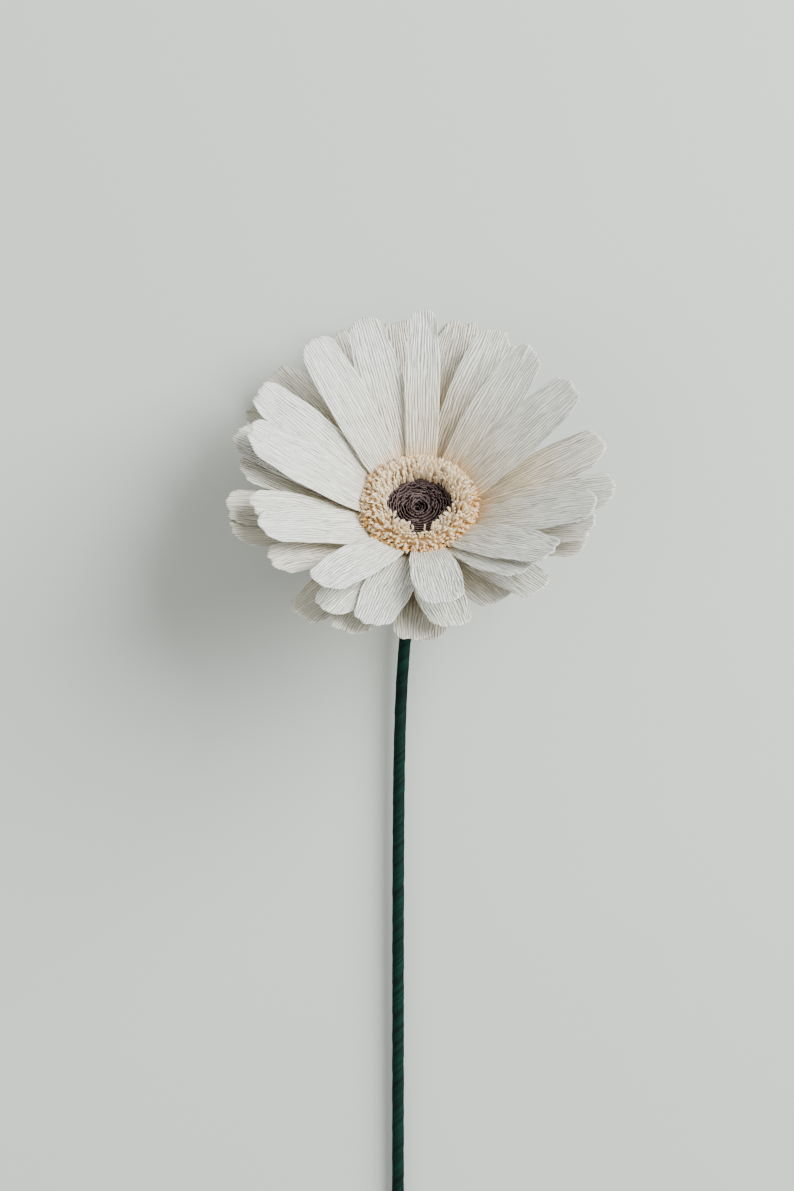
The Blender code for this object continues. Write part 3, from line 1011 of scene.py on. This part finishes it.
# the cup's wall is round at the bottom and parts into points towards its rim
def calyxSpot(level, column):
    radius, height = calyx["outline"][level]
    angle = tau * column / calyx["columns"]
    pointed = abs((column * calyx["points"] / calyx["columns"]) % 1.0 * 2 - 1)
    reach = max(0.0, (level - calyx["pointsFrom"]) / calyx["pointLevels"]) * calyx["pointHeight"]
    rise = (1 - pointed) * reach
    crinkle = crepeRidge(angle * radius, level * 2.0, 91.0) * calyx["ridgeDepth"]
    wide = radius + rise * calyx["flare"] - calyx["pinch"] * pointed * reach + crinkle
    return Vector((math.cos(angle) * wide, math.sin(angle) * wide, height + rise)) * mm


def buildCalyx():
    g, _, ridge, colour, fibre = crepeMaterial("calyxPaper", calyxPaper)
    material = finishPaper(g, calyxPaper, colour, ridge, fibre)
    bm = bmesh.new()
    uvLayer = bm.loops.layers.uv.new("grain")
    rings = []
    grain = {}
    for level in range(len(calyx["outline"])):
        ring = []
        for column in range(calyx["columns"]):
            vert = bm.verts.new(calyxSpot(level, column))
            angle = tau * column / calyx["columns"]
            grain[vert] = (angle * calyx["grain"], level * calyx["levelGrain"])
            ring.append(vert)
        rings.append(ring)
    skin(bm, rings)
    layGrain(bm.faces, uvLayer, grain)
    addPiece("calyx", bm, material, "calyx", headPlace, calyx["thickness"] * mm)
    print("calyx built")


# stem: it bends under the head, drifts sideways and ends just above the table
stem = {
    "tapeTop": -19.9,
    "bendRadius": 7.0,
    "bendSteps": 8,
    "reach": 299.0,  # from the head's reference to the cut end
    "drift": -6.0,
    "driftLength": 20.0,
    "blend": 18.0,
    "driftStart": 17.0,
    "lineStep": 7.0,
    "clearance": 0.05,
    "radius": 1.7,
    "lap": 0.09,
    "lump": 0.06,
    "lumpsPerLength": 0.25,
    "tapePitch": 8.5,
    "spacing": 0.7,
    "sides": 28,
    "topHole": 0.35,  # how far the tape closes over the wire
    "endHole": 0.45,
}
tapeLook = {
    # the crest is the tape's lit colour and the valley its painted shade, mixed by the streaks
    "crest": (0.0007, 0.02, 0.014, 1.0),
    "valleyShade": (0.0002, 0.0035, 0.003, 1.0),
    "lapLine": (0.002, 0.02, 0.017, 1.0),
    "lapBand": (0.9, 0.99),
    "lapAmount": 0.4,
    "streakGrain": (3.0, 0.5, 1.0),
    "crinkleGrain": (14.0, 0.35, 1.0),
    "bump": 0.9,
    "depth": 0.16,
    "rough": 0.55,
    "gloss": 0.07,
}


# centre line from under the calyx to the cut end, in metres from the head's reference
def stemLine():
    knee = headAxis * stem["tapeTop"]
    drop = math.asin(headAxis.z)
    flat = Vector((-headAxis.x, -headAxis.y, 0)).normalized()
    up = Vector((0, 0, 1))
    centre = knee + stem["bendRadius"] * (flat * math.sin(drop) + up * math.cos(drop))
    points = [knee]
    for index in range(1, stem["bendSteps"] + 1):
        angle = drop * (1 - index / stem["bendSteps"])
        outward = flat * math.sin(angle) + up * math.cos(angle)
        points.append(centre - stem["bendRadius"] * outward)
    last = points[-1]
    endHeight = -head["aboveTable"] + stem["radius"] + stem["clearance"]
    count = int((last.y + stem["reach"]) / stem["lineStep"])
    for index in range(1, count + 1):
        share = index / count
        y = last.y - (stem["reach"] + last.y) * share
        drifted = max(0.0, -y - stem["driftStart"]) / stem["driftLength"]
        drift = stem["drift"] * (1 - math.exp(-drifted))
        x = last.x + (drift - last.x) * ramp((last.y - y) / stem["blend"])
        points.append(Vector((x, y, last.z + (endHeight - last.z) * share)))
    return [headAt + point * mm for point in points]


# the same line with points at one spacing
def evenly(points, spacing):
    result = [points[0]]
    left = spacing
    for a, b in zip(points, points[1:]):
        length = (b - a).length
        at = left
        while at < length:
            result.append(a.lerp(b, at / length))
            at += spacing
        left = at - length
    result.append(points[-1])
    return result


# each point with two directions square to the line
def frames(points):
    for index, point in enumerate(points):
        ahead = points[min(index + 1, len(points) - 1)] - points[max(index - 1, 0)]
        ahead.normalize()
        side = ahead.cross(Vector((0, 0, 1))).normalized()
        yield point, side, side.cross(ahead)


def tapeMaterial():
    g = Graph("tape")
    uv = g.val(g.add("ShaderNodeTexCoord"), 2)
    lap = g.val(g.add("ShaderNodeSeparateXYZ", Vector=uv), 0)
    streak = g.noise(g.scaled(uv, tapeLook["streakGrain"]), 1.4, 4.0, 0.6)
    crinkle = g.noise(g.scaled(uv, tapeLook["crinkleGrain"]), 1.0, 3.0, 0.6, 0.4)
    seam = g.ramp(lap, *tapeLook["lapBand"])
    # the tape's own mottling with painted shade and highlight: the streaks that colour it also
    # raise the bump, darker where it is lower
    colour = g.mixColour(g.ramp(streak, 0.35, 0.7), tapeLook["valleyShade"], tapeLook["crest"])
    colour = g.mixColour(seam * tapeLook["lapAmount"], colour, tapeLook["lapLine"])
    height = crinkle * 0.8 + streak * 0.4
    bump = g.add(
        "ShaderNodeBump", Strength=tapeLook["bump"], Distance=tapeLook["depth"] * mm,
        Height=height,
    )
    g.set(Base_Color=colour, Roughness=streak * 0.2 + tapeLook["rough"], Normal=g.val(bump))
    g.shader.inputs["Specular IOR Level"].default_value = tapeLook["gloss"]
    return g.material


# the tape's wall swells towards each lap; phase is 0 after a lap and 1 at the next
def buildTape(line, material):
    bm = bmesh.new()
    uvLayer = bm.loops.layers.uv.new("grain")
    points = evenly(line, stem["spacing"] * mm)
    rings = []
    grain = {}
    sides = stem["sides"]
    for index, (point, side, up) in enumerate(frames(points)):
        run = index * stem["spacing"]
        ring = []
        for step in range(sides):
            angle = tau * step / sides
            phase = (run / stem["tapePitch"] + step / sides) % 1.0
            around = Vector((math.cos(angle), math.sin(angle), run * stem["lumpsPerLength"]))
            lump = stem["lump"] * noise.noise(around)
            radius = stem["radius"] + stem["lap"] * (phase - 0.5) + lump
            spot = point + (side * math.cos(angle) + up * math.sin(angle)) * radius * mm
            vert = bm.verts.new(spot)
            grain[vert] = (phase, run + step * 0.3)
            ring.append(vert)
        rings.append(ring)
    end = [bm.verts.new(vert.co.lerp(points[-1], stem["endHole"])) for vert in rings[-1]]
    top = [bm.verts.new(vert.co.lerp(points[0], stem["topHole"])) for vert in rings[0]]
    grain.update({vert: (0.5, 0.0) for vert in end + top})
    skin(bm, [top, *rings, end], turnedOver=True)
    layGrain(bm.faces, uvLayer, grain)
    bmesh.ops.recalc_face_normals(bm, faces=bm.faces)
    addPiece("stemTape", bm, material, "stem_tape")
    print("tape built")


# steel wire in the middle of the tape
wire = {"radius": 0.8, "sides": 20, "chamfer": 0.12, "topMargin": 0.6}
wireLook = {
    "dark": (0.32, 0.32, 0.33, 1.0),
    "bright": (0.6, 0.6, 0.58, 1.0),
    "drawnGrain": (4000.0, 120.0, 4000.0),
    "scratches": 2500.0,
    "bump": 0.3,
    "depth": 0.02,
    "rough": 0.25,
}


def wireMaterial():
    look = wireLook
    g = Graph("wire")
    spot = g.val(g.add("ShaderNodeTexCoord"), 3)
    drawn = g.noise(g.scaled(spot, look["drawnGrain"]), 1.0, 3.0)
    scratch = g.noise(spot, look["scratches"], 3.0, 0.6)
    colour = g.mixColour(g.ramp(drawn, 0.3, 0.7), look["dark"], look["bright"])
    bump = g.add(
        "ShaderNodeBump", Strength=look["bump"], Distance=look["depth"] * mm, Height=scratch
    )
    rough = scratch * look["rough"] + look["rough"]
    g.set(Base_Color=colour, Metallic=1.0, Roughness=rough, Normal=g.val(bump))
    return g.material


# height above the head's reference, along its axis, of a node's far end
def heightOnAxis(node):
    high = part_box(node)[1]
    return (high.z - headAt.z) / headAxis.z / mm - wire["radius"] * wire["topMargin"]


def buildWire(line):
    bm = bmesh.new()
    top = headAt + headAxis * heightOnAxis("stem_wire") * mm
    spins = [tau * step / wire["sides"] for step in range(wire["sides"])]
    radius = wire["radius"] * mm
    rings = [
        [bm.verts.new(at + (side * math.cos(a) + up * math.sin(a)) * radius) for a in spins]
        for at, side, up in frames([top, *line])
    ]
    skin(bm, rings, turnedOver=True)
    caps = [bm.faces.new(rings[0]), bm.faces.new(rings[-1][::-1])]
    edges = [edge for face in caps for edge in face.edges]
    bmesh.ops.bevel(
        bm, geom=edges, offset=wire["chamfer"] * mm, segments=2, profile=0.5,
        affect="EDGES", material=-1,
    )
    bmesh.ops.recalc_face_normals(bm, faces=bm.faces)
    addPiece("stemWire", bm, wireMaterial(), "stem_wire")
    print("wire built")


# floor and light; lamps aim at the head, and their places are in metres from it
room = {
    "floor": (0.44, 0.46, 0.43, 1.0),
    "floorSize": 3.0,
    "cloudScale": 6.0,
    "cloudTone": 0.94,
    "floorRough": 0.9,
    "world": (0.86, 0.88, 0.88, 1.0),
    "worldStrength": 0.92,
}
lamps = {
    "key": {"at": (1.0, 0.52, 0.8), "size": 1.2, "power": 72.0, "colour": (0.97, 1.0, 0.985)},
    "fill": {"at": (-0.8, -0.4, 0.9), "size": 1.2, "power": 6.0, "colour": (1.0, 0.97, 0.92)},
}


def buildRoom():
    g = Graph("floor")
    spot = g.val(g.add("ShaderNodeTexCoord"), 3)
    cloud = g.noise(spot, room["cloudScale"], 3.0)
    tone = [c * room["cloudTone"] for c in room["floor"][:3]] + [1.0]
    colour = g.mixColour(cloud, room["floor"], tone)
    g.set(Base_Color=colour, Roughness=room["floorRough"])
    bm = bmesh.new()
    bmesh.ops.create_grid(bm, x_segments=2, y_segments=2, size=room["floorSize"])
    mesh = bpy.data.meshes.new("floor")
    bm.to_mesh(mesh)
    bm.free()
    mesh.materials.append(g.material)
    floor = bpy.data.objects.new("floor", mesh)
    floor.location.z = cadBounds[0].z
    bpy.context.scene.collection.objects.link(floor)
    world = bpy.data.worlds.new("world")
    world.use_nodes = True
    background = world.node_tree.nodes["Background"]
    background.inputs[0].default_value = room["world"]
    background.inputs[1].default_value = room["worldStrength"]
    bpy.context.scene.world = world
    print("room built")


def addLamps():
    for name, lamp in lamps.items():
        data = bpy.data.lights.new(name, "AREA")
        data.shape = "DISK"
        data.size = lamp["size"]
        data.energy = lamp["power"]
        data.color = lamp["colour"]
        light = bpy.data.objects.new(name, data)
        light.location = headAt + Vector(lamp["at"])
        light.rotation_euler = Vector(lamp["at"]).to_track_quat("Z", "Y").to_euler()
        bpy.context.scene.collection.objects.link(light)
    print("lamps placed:", len(lamps))


buildPetals()
fringeLook = fringeMaterial()
buildFringe("outer_fringe", 21, fringeLook)
buildFringe("inner_fringe", 22, fringeLook)
buildRoll(rollMaterial())
buildCalyx()
stemPoints = stemLine()
buildTape(stemPoints, tapeMaterial())
buildWire(stemPoints)
buildRoom()
addLamps()
